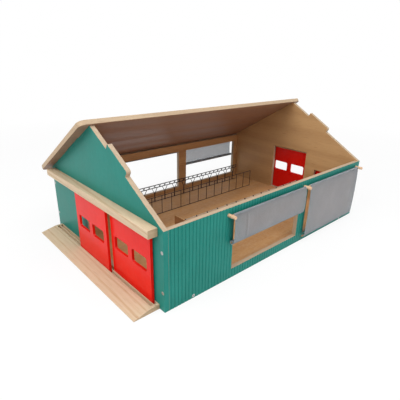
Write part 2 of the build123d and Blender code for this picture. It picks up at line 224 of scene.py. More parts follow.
class EffectLibrary:
    """Builds the shared effects, which materials place by their names."""

    def build(self) -> None:
        """Build all the groups."""
        self.build_grain()
        self.build_film()
        self.build_weave()
        self.build_dust()
        self.build_rubbed()

    def new_group(
        self,
        effect: Effect,
        colors: Sequence[str],
        numbers: Sequence[str],
        results: Sequence[str] = ("Height", "Roughness"),
    ) -> tuple[Tree, Any, bpy.types.Node]:
        """Start a node group that takes a place and puts out a colour.

        Args:
            effect: The effect that the group makes.
            colors: Names of the colours that it also takes.
            numbers: Names of the numbers that it also takes.
            results: Names of the numbers that it also puts out.

        Returns:
            The group's tree, what is given to it, and the node that what it makes goes to.
        """
        group = bpy.data.node_groups.new(effect.value, "ShaderNodeTree")
        sockets = [("Vector", "INPUT", "Vector")]
        sockets += [(name, "INPUT", "Color") for name in colors]
        sockets += [(name, "INPUT", "Float") for name in numbers]
        sockets += [("Color", "OUTPUT", "Color")]
        sockets += [(name, "OUTPUT", "Float") for name in results]
        for name, side, kind in sockets:
            group.interface.new_socket(name=name, in_out=side, socket_type=f"NodeSocket{kind}")
        tree = Tree(group)
        return tree, tree.add("NodeGroupInput").outputs, tree.add("NodeGroupOutput")

    def build_grain(self) -> None:
        """Wood: wavy growth rings, fine fibres and short dark pores along the grain."""
        numbers = ("Rings", "Fibres", "Contrast", "Lines")
        tree, given, made = self.new_group(Effect.GRAIN, ("Light", "Dark"), numbers)
        place, dark = given["Vector"], given["Dark"]
        wave = tree.add(
            "ShaderNodeTexWave",
            {
                "Vector": place,
                "Scale": given["Rings"],
                "Distortion": 9.0,
                "Detail": 3.0,
                "Detail Scale": 0.6,
                "Detail Roughness": 0.6,
            },
            wave_type="BANDS",
            bands_direction="DIAGONAL",
        ).outputs["Fac"]
        rings = tree.math("POWER", wave, 1.6)
        fibres = tree.noise(place, given["Fibres"], 4.0, 0.65)
        blotches = tree.noise(place, tree.times(given["Rings"], 0.22), 3.0, 0.6)
        pores = tree.remap(tree.noise(place, tree.times(given["Fibres"], 1.9), 1.0), 0.6, 0.7)
        tone = tree.weighed((rings, 0.34), (fibres, 0.36), (blotches, 0.42))
        centred = tree.math("SUBTRACT", tone, 0.5)
        factor = tree.math("ADD", tree.times(centred, given["Contrast"]), 0.5, clamp=True)
        color = tree.mix(factor, dark, given["Light"])
        late = tree.times(tree.math("POWER", wave, 6.0), tree.remap(fibres, 0.3, 0.65, 0.4, 1.0))
        color = tree.mix(tree.times(late, given["Lines"]), color, dark)
        color = tree.mix(tree.times(pores, 0.28), color, dark, "MULTIPLY")
        height = tree.math("SUBTRACT", fibres, tree.times(pores, 0.5))
        tree.put(made, {"Color": color, "Height": height, "Roughness": tree.remap(tone, 0.3, 0.75)})

    def build_film(self) -> None:
        """Paint: slow shifts of tone, a rolled or sprayed skin and faint brush lines."""
        tree, given, made = self.new_group(Effect.FILM, ("Color", "Shade"), ("Skin",))
        place = given["Vector"]
        clouds = tree.noise(place, 9.0, 4.0, 0.6)
        skin = tree.noise(place, given["Skin"], 2.0, 0.55)
        lines = tree.noise(tree.stretched(place, (1.0, 1.0, 0.06)), 420.0, 3.0, 0.6)
        tone = tree.weighed((clouds, 0.7), (lines, 0.3))
        color = tree.mix(tree.remap(tone, 0.3, 0.7), given["Shade"], given["Color"])
        height = tree.plus(skin, tree.times(lines, 0.35))
        tree.put(made, {"Color": color, "Height": height, "Roughness": tree.remap(clouds, 0.3, 0.7)})

    def build_weave(self) -> None:
        """Plain-woven cloth: warp over weft with slubs, in the piece's own flat coordinates."""
        tree, given, made = self.new_group(Effect.WEAVE, ("Warp", "Weft"), ("Threads",))
        place = given["Vector"]
        axes = tree.add("ShaderNodeSeparateXYZ", {0: place}).outputs
        turns = tree.times(given["Threads"], math.pi)
        warp, weft = (tree.math("SINE", tree.times(axis, turns)) for axis in axes[:2])
        over = tree.times(warp, weft)
        warp_height = tree.times(tree.math("ABSOLUTE", warp), tree.remap(over, -1.0, 1.0))
        weft_height = tree.times(tree.math("ABSOLUTE", weft), tree.remap(over, 1.0, -1.0))
        height = tree.math("MAXIMUM", warp_height, weft_height)
        slubs = tree.noise(tree.stretched(place, (1.0, 0.05, 1.0)), 900.0, 2.0, 0.6)
        clouds = tree.noise(place, 24.0, 4.0, 0.65)
        face = tree.mix(tree.remap(over, -0.6, 0.6), given["Weft"], given["Warp"])
        tint = tree.remap(tree.weighed((slubs, 0.5), (clouds, 0.5)), 0.32, 0.68, 0.8, 1.0)
        grey = tree.add("ShaderNodeCombineColor", {0: tint, 1: tint, 2: tint}).outputs[0]
        color = tree.mix(1.0, face, grey, "MULTIPLY")
        bulk = tree.weighed((height, 0.6), (slubs, 0.5))
        tree.put(made, {"Color": color, "Height": bulk, "Roughness": tree.remap(slubs, 0.3, 0.7)})

    def build_dust(self) -> None:
        """A thin pale bloom of dust, thicker on faces that look up."""
        tree, given, made = self.new_group(Effect.DUST, ("Color", "Dust"), ("Amount",), ("Mask",))
        normal = tree.add("ShaderNodeNewGeometry").outputs["Normal"]
        up = tree.add("ShaderNodeSeparateXYZ", {0: normal}).outputs[2]
        lying = tree.remap(up, -0.2, 1.0, 0.25, 1.0)
        specks = tree.remap(tree.noise(given["Vector"], 160.0, 5.0, 0.7), 0.42, 0.72)
        mask = tree.math("MULTIPLY", tree.times(specks, lying), given["Amount"], clamp=True)
        tree.put(made, {"Color": tree.mix(mask, given["Color"], given["Dust"]), "Mask": mask})

    def build_rubbed(self) -> None:
        """Where paint is rubbed through on an eased edge: broken patches of bare wood."""
        tree, given, made = self.new_group(Effect.RUBBED, ("Paint", "Wood"), ("Amount",), ("Mask",))
        patches = tree.noise(given["Vector"], 140.0, 5.0, 0.68)
        edge = tree.math("SUBTRACT", 0.78, tree.times(given["Amount"], 0.5))
        mask = tree.remap(patches, edge, tree.plus(edge, 0.08))
        tree.put(made, {"Color": tree.mix(mask, given["Paint"], given["Wood"]), "Mask": mask})


# ------------------------------------------------------------------ finishes


STRETCH = 0.035


class Along(Enum):
    """The direction that wood grain runs in, as the scale of a Mapping node."""

    X = (STRETCH, 1.0, 1.0)
    Y = (1.0, STRETCH, 1.0)
    Z = (1.0, 1.0, STRETCH)


class Finish:
    """A finish that can be built as a material, once."""

    name: str
    smooth: float
    rough: float
    relief: float

    def build(self) -> bpy.types.Material:
        """Build the finish's material at its first use.

        Returns:
            The material.
        """
        found = bpy.data.materials.get(self.name)
        if found:
            return found
        material = bpy.data.materials.new(self.name)
        tree = empty_tree(material)
        shader = tree.add("ShaderNodeBsdfPrincipled")
        tree.add("ShaderNodeOutputMaterial", {"Surface": shader.outputs[0]})
        tree.put(shader, self.fill(tree))
        return material

    def fill(self, tree: Tree) -> dict[str, Any]:
        """Return what goes into the shader's inputs, after adding the nodes that it needs."""
        raise NotImplementedError

    def touch(self, tree: Tree, made: Any) -> dict[str, Any]:
        """Return the shader's roughness and normal from what an effect made."""
        roughness = tree.remap(made["Roughness"], 0.0, 1.0, self.smooth, self.rough)
        return {"Roughness": roughness, "Normal": tree.bump(made["Height"], self.relief)}

    def place_of(self, tree: Tree) -> Any:
        """Return the piece's own coordinates, in metres."""
        return tree.add("ShaderNodeTexCoord").outputs["Object"]


@dataclass(frozen=True)
class Wood(Finish):
    """Bare, oiled or stained wood with its grain along one axis."""

    name: str
    light: Color
    dark: Color
    along: Along
    rings: float = 30.0
    fibres: float = 700.0
    contrast: float = 1.0
    lines: float = 0.25
    smooth: float = 0.42
    rough: float = 0.62
    relief: float = 0.00012
    coat: float = 0.0
    coat_rough: float = 0.3
    dust: float = 0.12
    dust_color: Color = rgb(214, 202, 184)
    shine: float = 0.3

    def fill(self, tree: Tree) -> dict[str, Any]:
        """Use grain for colour, roughness and relief, under a little dust.

        Args:
            tree: The material's tree.

        Returns:
            What goes into the shader's inputs.
        """
        place = self.place_of(tree)
        grain = tree.place(
            Effect.GRAIN,
            Vector=tree.stretched(place, self.along.value),
            Light=self.light,
            Dark=self.dark,
            Rings=self.rings,
            Fibres=self.fibres,
            Contrast=self.contrast,
            Lines=self.lines,
        )
        layer = {"Color": grain["Color"], "Dust": self.dust_color, "Amount": self.dust}
        return {
            "Base Color": tree.place(Effect.DUST, Vector=place, **layer)["Color"],
            **self.touch(tree, grain),
            "Coat Weight": self.coat,
            "Coat Roughness": self.coat_rough,
            "Specular IOR Level": self.shine,
        }


@dataclass(frozen=True)
class Paint(Finish):
    """A film of paint or lacquer over board."""

    name: str
    color: Color
    shade: Color
    skin: float = 900.0
    smooth: float = 0.3
    rough: float = 0.42
    relief: float = 0.00004
    shine: float = 0.3
    dust: float = 0.04
    dust_color: Color = rgb(200, 198, 190)
    rubbed: float = 0.0
    wood: Color = rgb(203, 170, 130)
    wood_rough: float = 0.6

    def fill(self, tree: Tree) -> dict[str, Any]:
        """Use the film's tone and skin, bare patches where it is rubbed, and a little dust.

        Args:
            tree: The material's tree.

        Returns:
            What goes into the shader's inputs.
        """
        place = self.place_of(tree)
        layer = {"Color": self.color, "Shade": self.shade, "Skin": self.skin}
        film = tree.place(Effect.FILM, Vector=place, **layer)
        color = film["Color"]
        made = self.touch(tree, film)
        if self.rubbed:
            layer = {"Paint": color, "Wood": self.wood, "Amount": self.rubbed}
            rubbed = tree.place(Effect.RUBBED, Vector=place, **layer)
            color = rubbed["Color"]
            worn = tree.remap(rubbed["Mask"], 0.0, 1.0, made["Roughness"], self.wood_rough)
            made["Roughness"] = worn
        layer = {"Color": color, "Dust": self.dust_color, "Amount": self.dust}
        return {
            "Base Color": tree.place(Effect.DUST, Vector=place, **layer)["Color"],
            **made,
            "Specular IOR Level": self.shine,
        }


@dataclass(frozen=True)
class Cloth(Finish):
    """Plain-woven cloth in two close shades of grey."""

    name: str
    warp: Color
    weft: Color
    threads: float = 1500.0
    relief: float = 0.00009
    smooth: float = 0.78
    rough: float = 0.92
    scatter: float = 0.004
    sheen: float = 0.12
    sheen_rough: float = 0.5

    def fill(self, tree: Tree) -> dict[str, Any]:
        """Use the weave in the cloth's flat coordinates, with a soft sheen.

        Args:
            tree: The material's tree.

        Returns:
            What goes into the shader's inputs.
        """
        flat = tree.add("ShaderNodeUVMap", uv_map="Flat").outputs[0]
        threads = {"Warp": self.warp, "Weft": self.weft, "Threads": self.threads}
        weave = tree.place(Effect.WEAVE, Vector=flat, **threads)
        return {
            "Base Color": weave["Color"],
            **self.touch(tree, weave),
            "Subsurface Weight": 1.0,
            "Subsurface Radius": (1.0, 1.0, 1.0),
            "Subsurface Scale": self.scatter,
            "Sheen Weight": self.sheen,
            "Sheen Roughness": self.sheen_rough,
        }


@dataclass(frozen=True)
class Metal(Finish):
    """Bare or lacquered metal."""

    name: str
    color: Color
    shade: Color
    metallic: float
    skin: float = 1600.0
    smooth: float = 0.25
    rough: float = 0.45
    relief: float = 0.00002
    rubbed: float = 0.0
    bare: Color = rgb(150, 140, 130)

    def fill(self, tree: Tree) -> dict[str, Any]:
        """Use tone and skin over the whole piece, and bright patches where lacquer is rubbed.

        Args:
            tree: The material's tree.

        Returns:
            What goes into the shader's inputs.
        """
        place = self.place_of(tree)
        layer = {"Color": self.color, "Shade": self.shade, "Skin": self.skin}
        film = tree.place(Effect.FILM, Vector=place, **layer)
        layer = {"Paint": film["Color"], "Wood": self.bare, "Amount": self.rubbed}
        return {
            "Base Color": tree.place(Effect.RUBBED, Vector=place, **layer)["Color"],
            **self.touch(tree, film),
            "Metallic": self.metallic,
        }


WHITE = (1.0, 1.0, 1.0, 1.0)
GREEN = rgb(34, 134, 122)
GREEN_SHADE = rgb(18, 116, 104)
RED = rgb(234, 26, 12)
RED_SHADE = rgb(216, 16, 8)
EDGE_LIGHT = rgb(198, 176, 150)
EDGE_DARK = rgb(164, 140, 112)
PINE_LIGHT = rgb(226, 211, 184)
PINE_DARK = rgb(190, 156, 118)

BARE_EDGE = {"rings": 60.0, "contrast": 0.8}
WIDE_BOARD = {"fibres": 420.0, "contrast": 1.1, "coat": 0.1}
FLOOR_LOOK = {"rings": 12.0, "fibres": 380.0, "contrast": 1.2, "coat": 0.12, "dust": 0.2}
ROOF_LOOK = {"rings": 9.0, "fibres": 360.0, "contrast": 1.1, "coat": 0.05}

GREEN_PAINT = Paint("satin_green_paint", GREEN, GREEN_SHADE, smooth=0.3, rough=0.42, shine=0.15)
GREEN_EDGE = Paint("green_paint_rubbed_at_the_edge", GREEN, GREEN_SHADE, shine=0.15, rubbed=0.62)
RED_LACQUER = Paint("gloss_red_lacquer", RED, RED_SHADE, smooth=0.16, rough=0.24, shine=0.13)
RED_EDGE = Paint("red_lacquer_edge", RED, RED_SHADE, smooth=0.2, rough=0.3, shine=0.2, rubbed=0.2)
INNER_WOOD = Wood(
    "lacquered_inner_board", rgb(198, 152, 102), rgb(156, 108, 66), Along.Y, rings=16.0, **WIDE_BOARD
)
INNER_WOOD_ACROSS = Wood(
    "lacquered_inner_gable", rgb(206, 166, 116), rgb(170, 128, 82), Along.X, rings=15.0, **WIDE_BOARD
)
FLOOR_WOOD = Wood("lacquered_floor", rgb(206, 158, 104), rgb(166, 118, 70), Along.Y, **FLOOR_LOOK)
EDGE_X = Wood("board_edge_across", EDGE_LIGHT, EDGE_DARK, Along.X, **BARE_EDGE)
EDGE_Y = Wood("board_edge_along", EDGE_LIGHT, EDGE_DARK, Along.Y, **BARE_EDGE)
EDGE_Z = Wood("board_edge_upright", EDGE_LIGHT, EDGE_DARK, Along.Z, **BARE_EDGE)
ROOF_WOOD = Wood("stained_roof_board", rgb(172, 134, 110), rgb(134, 98, 77), Along.Y, **ROOF_LOOK)
ROOF_EDGE = Wood("roof_board_edge", rgb(208, 184, 152), rgb(168, 140, 112), Along.Y, **BARE_EDGE)
PINE = Wood("planed_pine", PINE_LIGHT, PINE_DARK, Along.X, fibres=520.0, contrast=0.8, lines=1.0)
PINE_END = Wood(
    "pine_end_grain", rgb(196, 172, 140), rgb(158, 128, 96), Along.Y, rings=90.0, contrast=1.1
)
DOWEL = Wood("turned_dowel", rgb(232, 196, 162), rgb(198, 152, 116), Along.X, rings=70.0)
ROD_WOOD = Wood("curtain_dowel", rgb(222, 190, 148), rgb(186, 146, 104), Along.Y, rings=80.0)
# Darker than the curtain dowel's wood: painted shade, for the hem rod's end that sits in the roll's
# shadow.
HEM_WOOD_PAINTED_SHADE = Wood("hem_dowel", rgb(176, 144, 108), rgb(128, 98, 70), Along.Y, rings=80.0)
PEN_WOOD = Wood("pen_plywood", rgb(206, 168, 120), rgb(164, 122, 78), Along.X)
CURTAIN_CLOTH = Cloth("grey_curtain_cloth", rgb(138, 143, 148), rgb(119, 123, 128))
DARK_WIRE = Metal("dark_lacquered_wire", rgb(44, 38, 37), rgb(26, 23, 23), metallic=0.0, rubbed=0.1)
ALLEY_WIRE = Metal(
    "pale_lacquered_wire", rgb(206, 192, 174), rgb(166, 150, 134), metallic=0.0, rubbed=0.2
)
KNOB_LACQUER = Metal("dark_knob_lacquer", rgb(70, 48, 40), rgb(44, 30, 26), metallic=0.0)
STEEL = Metal("zinc_plated_steel", rgb(206, 206, 204), rgb(168, 168, 166), metallic=1.0)


# ------------------------------------------------------------------ modelling by hand

FLAT = 0.9


def newest() -> Piece:
    """Return the active object, which is the one that the last operator made."""
    return bpy.context.view_layer.objects.active


def clear_selection() -> None:
    """Leave edit mode and deselect every object."""
    if bpy.context.object and bpy.context.object.mode != "OBJECT":
        bpy.ops.object.mode_set(mode="OBJECT")
    for thing in bpy.context.view_layer.objects:
        thing.select_set(False)


def pick(*things: Piece) -> Piece:
    """Select some objects only.

    Args:
        things: The objects. The last one becomes active.

    Returns:
        The active object.
    """
    clear_selection()
    for thing in things:
        thing.select_set(True)
    bpy.context.view_layer.objects.active = things[-1]
    return things[-1]


def primitive(operator: Callable[..., Any], **settings: Any) -> Piece:
    """Add one of Blender's simple meshes.

    Args:
        operator: The operator that adds it.
        settings: The operator's own settings.

    Returns:
        The new object.
    """
    clear_selection()
    operator(**settings)
    return newest()


def edit(piece: Piece, kind: str = "FACE", action: str = "SELECT") -> None:
    """Open a piece in edit mode with everything or nothing selected.

    Args:
        piece: The mesh object to open.
        kind: What is selected there: VERT, EDGE or FACE.
        action: SELECT for everything, or DESELECT for nothing.
    """
    pick(piece)
    bpy.ops.object.mode_set(mode="EDIT")
    bpy.ops.mesh.select_mode(type=kind)
    bpy.ops.mesh.select_all(action=action)


def leave() -> None:
    """Leave edit mode."""
    bpy.ops.object.mode_set(mode="OBJECT")


def choose(piece: Piece, kind: str, test: Test) -> None:
    """Open a piece in edit mode with what passes a test selected.

    Args:
        piece: The mesh object to open.
        kind: VERT or FACE.
        test: Given a place and a normal in the mesh, says what to select.
    """
    edit(piece, kind, "DESELECT")
    leave()
    if kind == "FACE":
        for face in piece.data.polygons:
            face.select = test(face.center, face.normal)
    else:
        for vertex in piece.data.vertices:
            vertex.select = test(vertex.co, vertex.normal)
    bpy.ops.object.mode_set(mode="EDIT")


def apply_modifier(piece: Piece, kind: str, **settings: Any) -> None:
    """Add a modifier and apply it.

    Args:
        piece: The mesh object.
        kind: The modifier's type name.
        settings: The modifier's properties.
    """
    pick(piece)
    modifier = piece.modifiers.new(kind.lower(), kind)
    for name, value in settings.items():
        setattr(modifier, name, value)
    bpy.ops.object.modifier_apply(modifier=modifier.name)


def set_in_place(piece: Piece) -> None:
    """Move a piece's place, turn and scale into its mesh."""
    pick(piece)
    bpy.ops.object.transform_apply(location=True, rotation=True, scale=True)


def point_outwards(piece: Piece, doubles: float = 0.000001) -> None:
    """Merge a piece's doubles and make all its faces point outwards.

    Args:
        piece: The mesh object.
        doubles: How near two corners are when they are merged.
    """
    edit(piece)
    bpy.ops.mesh.remove_doubles(threshold=doubles)
    bpy.ops.mesh.normals_make_consistent(inside=False)
    leave()


def smooth(piece: Piece, degrees: float = 40.0) -> None:
    """Shade a piece smooth, except at edges sharper than an angle."""
    pick(piece)
    bpy.ops.object.shade_smooth_by_angle(angle=math.radians(degrees))


def round_ends(piece: Piece, reach: float, segments: int) -> None:
    """Round the rims of a cylinder, and set it in place.

    Args:
        piece: The cylinder.
        reach: How far the round reaches in from each rim.
        segments: How many facets the round has.
    """
    choose(piece, "FACE", lambda place, normal: abs(normal.z) > FLAT)
    bpy.ops.mesh.bevel(offset=reach, segments=segments, affect="EDGES")
    leave()
    set_in_place(piece)


def copied(piece: Piece, move: Point = (0.0, 0.0, 0.0)) -> Piece:
    """Copy a piece and its mesh.

    Args:
        piece: The piece.
        move: How far the copy is from it.

    Returns:
        The copy, which is the active object.
    """
    pick(piece)
    bpy.ops.object.duplicate(linked=False)
    copy = newest()
    copy.location += Vector(move)
    return copy


def joined(name: str, parts: Sequence[Piece]) -> Piece:
    """Join parts into one piece with its place in its mesh.

    Args:
        name: The piece's name.
        parts: The parts, which are used up.

    Returns:
        The piece.
    """
    pick(*parts)
    bpy.ops.object.join()
    piece = newest()
    piece.name = name
    piece.data.name = name
    set_in_place(piece)
    return piece


def one_finish(place: Vector, normal: Vector) -> int:
    """Choose the first finish everywhere."""
    return 0


def off_axis(axis: Vector, flat: float) -> Chooser:
    """Make a choice between wide faces and edges.

    Args:
        axis: The direction that the wide faces point in, either way.
        flat: The least share of a wide face's normal that lies along it.

    Returns:
        A function that chooses the first finish for wide faces and the second elsewhere.
    """
    return lambda place, normal: 0 if abs(normal.dot(axis)) > flat else 1


@dataclass
class Workshop:
    """What every sub-assembly works with: the frame's nodes and how boards are cut from them."""

    nodes: dict[str, Piece]
    wide_round: float = 0.0016
    wide_segments: int = 4
    doubles: float = 0.000004
    flat_angle: float = 0.4
    sharp_angle: float = 30.0

    def paint(
        self, piece: Piece, *finishes: Finish, which: Chooser = one_finish
    ) -> None:
        """Give each face of a piece its finish.

        Args:
            piece: The piece.
            finishes: The finishes to choose from.
            which: Given a face's place and normal, says which finish it gets, counted from 0.
        """
        piece.data.materials.clear()
        for finish in finishes:
            piece.data.materials.append(finish.build())
        for face in piece.data.polygons:
            face.material_index = which(face.center, face.normal)

    def hand_over(self, piece: Piece, body: str, slot: str, *replaced: str) -> None:
        """Let a finished piece ride on its body and stand for its CAD nodes.

        Args:
            piece: The piece.
            body: The body that it rides on.
            slot: The record's material slot for it; not used.
            replaced: The CAD nodes that it stands for.
        """
        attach(piece, body)
        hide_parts(*replaced)
        log.info("%s: %d faces", piece.name, len(piece.data.polygons))

    def cut_board(
        self,
        node: str,
        ease: float,
        segments: int = 2,
        name: str = "",
        rounded: Test | None = None,
    ) -> Piece:
        """Copy a board from the CAD model and ease its edges.

        Args:
            node: The CAD node.
            ease: How far the easing reaches in from each edge.
            segments: How many facets round each edge.
            name: The new piece's name, if it isn't the node's with "board" after it.
            rounded: Says which corners lie on edges that get a wider round first.

        Returns:
            The new board, with its corners merged and its flat faces whole.
        """
        board = copied(self.nodes[node])
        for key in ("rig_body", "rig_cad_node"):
            del board[key]
        place = board.matrix_world.copy()
        board.parent = None
        board.matrix_world = place
        board.name = name or f"{node}_board"
        bpy.ops.mesh.customdata_custom_splitnormals_clear()
        edit(board)
        bpy.ops.mesh.remove_doubles(threshold=self.doubles)
        bpy.ops.mesh.dissolve_limited(angle_limit=math.radians(self.flat_angle))
        leave()
        if rounded:
            choose(board, "VERT", rounded)
            bpy.ops.mesh.select_mode(type="EDGE")
            bpy.ops.mesh.bevel(
                offset=self.wide_round, segments=self.wide_segments, affect="EDGES"
            )
            leave()
        bpy.ops.object.shade_smooth()
        apply_modifier(
            board,
            "BEVEL",
            width=ease,
            segments=segments,
            limit_method="ANGLE",
            angle_limit=math.radians(self.sharp_angle),
            harden_normals=True,
            use_clamp_overlap=True,
        )
        return board

    def dress_board(
        self, node: str, body: str, slot: str, *finishes: Finish, which: Chooser = one_finish, **cut: Any
    ) -> Piece:
        """Cut a board, give its faces their finishes and hand it over.

        Args:
            node: The CAD node that it is cut from and stands for.
            body: The body that it rides on.
            slot: The record's material slot for it.
            finishes: The finishes to choose from.
            which: Chooses among them, as for paint.
            cut: What else cut_board is given.

        Returns:
            The board.
        """
        board = self.cut_board(node, **cut)
        self.paint(board, *finishes, which=which)
        self.hand_over(board, body, slot, node)
        return board


# ------------------------------------------------------------------ sub-assemblies


class BoardFace(IntEnum):
    """The stretches of a painted board, in the order of its finishes."""

    OUTSIDE = 0
    OUTER_ROUND = 1
    INSIDE = 2
    LYING = 3
    UPRIGHT = 4


@dataclass
class BarnShell:
    """The floor board, the two gables and the two side walls."""

    shop: Workshop
    gable_ease: float = 0.0005
    wall_ease: float = 0.00025
    end_margin: float = 0.002
    edge_margin: float = 0.0003
    steep: float = 0.5
    outer: float = 0.3
    inner: float = -0.6

    def build(self) -> None:
        """Build and dress the five boards."""
        self.build_gable("front_gable", -1.0)
        self.build_gable("rear_gable", 1.0)
        self.build_wall("left_wall", -1.0)
        self.build_wall("right_wall", 1.0)
        self.build_floor()

    def by_slant(self, facing: float, normal: Vector) -> BoardFace:
        """Choose the finish of a face that isn't flat on the outside.

        Args:
            facing: The share of its normal that points outwards, -1 to 1.
            normal: The way that it points.

        Returns:
            The stretch of the board that it belongs to.
        """
        if facing > self.outer:
            return BoardFace.OUTER_ROUND
        if facing < self.inner:
            return BoardFace.INSIDE
        return BoardFace.LYING if abs(normal.z) > self.steep else BoardFace.UPRIGHT

    def build_gable(self, node: str, outward: float) -> None:
        """Dress one gable: paint outside and on its ends, lacquered board inside, bare slopes.

        Args:
            node: The CAD node.
            outward: The direction of its outer face, -1 for the front and 1 for the rear.
        """
        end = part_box(node)[1].x - self.end_margin

        def which(place: Vector, normal: Vector) -> BoardFace:
            """Choose a gable face's finish.

            Args:
                place: The face's middle.
                normal: The way that it points.

            Returns:
                The stretch of the board that it belongs to.
            """
            facing = normal.y * outward
            at_end = abs(place.x) > end and abs(normal.x) > self.outer
            if facing > FLAT or (at_end and abs(normal.x) > FLAT):
                return BoardFace.OUTSIDE
            if at_end and facing < -0.2:
                return BoardFace.UPRIGHT
            return self.by_slant(facing, normal)

        finishes = (GREEN_PAINT, GREEN_EDGE, INNER_WOOD_ACROSS, EDGE_X, EDGE_Z)
        cut = {"ease": self.gable_ease, "which": which}
        self.shop.dress_board(node, "barn", "green_board", *finishes, **cut)

    def build_wall(self, node: str, outward: float) -> None:
        """Dress one side wall: grooved paint outside, lacquered board inside, bare edges.

        Args:
            node: The CAD node.
            outward: The direction of its outer face, -1 for the left and 1 for the right.
        """
        near, far = (corner.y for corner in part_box(node))

        def which(place: Vector, normal: Vector) -> BoardFace:
            """Choose a wall face's finish.

            Args:
                place: The face's middle.
                normal: The way that it points.

            Returns:
                The stretch of the board that it belongs to.
            """
            facing = normal.x * outward
            if facing < 0.97 and min(place.y - near, far - place.y) < self.edge_margin:
                return BoardFace.UPRIGHT
            if facing > 0.35 and abs(normal.z) < self.outer:
                return BoardFace.OUTSIDE
            return self.by_slant(facing, normal)

        finishes = (GREEN_PAINT, GREEN_EDGE, INNER_WOOD, EDGE_Y, EDGE_Z)
        cut = {"ease": self.wall_ease, "which": which}
        self.shop.dress_board(node, "barn", "green_board", *finishes, **cut)

    def build_floor(self) -> None:
        """Dress the floor board, its wide faces and its edges."""
        cut = {"ease": self.gable_ease, "which": off_axis(Vector((0.0, 0.0, 1.0)), 0.6)}
        self.shop.dress_board("floor_board", "barn", "floor_wood", FLOOR_WOOD, EDGE_Y, **cut)


@dataclass
class RoofPanel:
    """The roof panel that lifts off the gables' tabs."""

    shop: Workshop
    ease: float = 0.0009

    def build(self) -> None:
        """Build and dress the panel: stained faces and bare sanded edges."""
        low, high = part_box("roof_panel")
        slope = Vector((low.z - high.z, 0.0, high.x - low.x)).normalized()
        cut = {"ease": self.ease, "segments": 3, "which": off_axis(slope, FLAT)}
        self.shop.dress_board("roof_panel", "roof_panel", "roof_wood", ROOF_WOOD, ROOF_EDGE, **cut)


@dataclass
class DoorTracks:
    """The grooved rails over the doors, and the grooved ramp and sill under them."""

    shop: Workshop
    ease: float = 0.0004
    face_margin: float = 0.0002
    end_grain: float = 0.7
    nodes: tuple[str, ...] = ("front_rail", "front_ramp", "rear_rail", "rear_sill", "hatch_rail")

    def build(self) -> None:
        """Build and dress the five lengths of pine, with long grain and end grain."""
        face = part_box("front_rail")[0].y + self.face_margin

        def on_face(place: Vector, normal: Vector) -> bool:
            """Say whether a corner lies on the front rail's front face."""
            return place.y < face

        def which(place: Vector, normal: Vector) -> int:
            """Choose long grain or end grain."""
            return 1 if abs(normal.x) > self.end_grain else 0

        for node in self.nodes:
            cut = {"ease": self.ease, "rounded": on_face if node == "front_rail" else None}
            self.shop.dress_board(node, "barn", "pine", PINE, PINE_END, which=which, **cut)


@dataclass
class SlidingDoors:
    """The red doors."""

    shop: Workshop
    ease: float = 0.0005
    flat: float = 0.96
    nodes: tuple[str, ...] = ("front_left_door", "front_right_door", "rear_door", "hatch_door")

    def build(self) -> None:
        """Build and dress each door, its flat faces and its eased edges."""

        def which(place: Vector, normal: Vector) -> int:
            """Choose the flat faces or the eased edges."""
            return 0 if max(abs(axis) for axis in normal) > self.flat else 1

        for node in self.nodes:
            cut = {"ease": self.ease, "segments": 3, "which": which}
            self.shop.dress_board(node, node, "red_door", RED_LACQUER, RED_EDGE, **cut)


@dataclass
class CurtainGear:
    """The turned pegs in the side walls and the rods that they carry."""

    shop: Workshop
    peg_ease: float = 0.0004
    rod_ease: float = 0.0003

    def build(self) -> None:
        """Build and dress the pegs and the rods."""
        for side in ("left", "right"):
            cut = {"ease": self.peg_ease, "name": f"{side}_turned_pegs"}
            self.shop.dress_board(f"{side}_pegs", "barn", "peg_wood", DOWEL, **cut)
            cut = {"ease": self.rod_ease, "name": f"{side}_curtain_dowel"}
            self.shop.dress_board(f"{side}_curtain_rod", "barn", "rod_wood", ROD_WOOD, **cut)


def on_circle(across: float, up: float, radius: float, angle: float) -> tuple[float, float]:
    """Return a place on a circle, from its middle, its radius and an angle in radians."""
    return across + radius * math.cos(angle), up + radius * math.sin(angle)


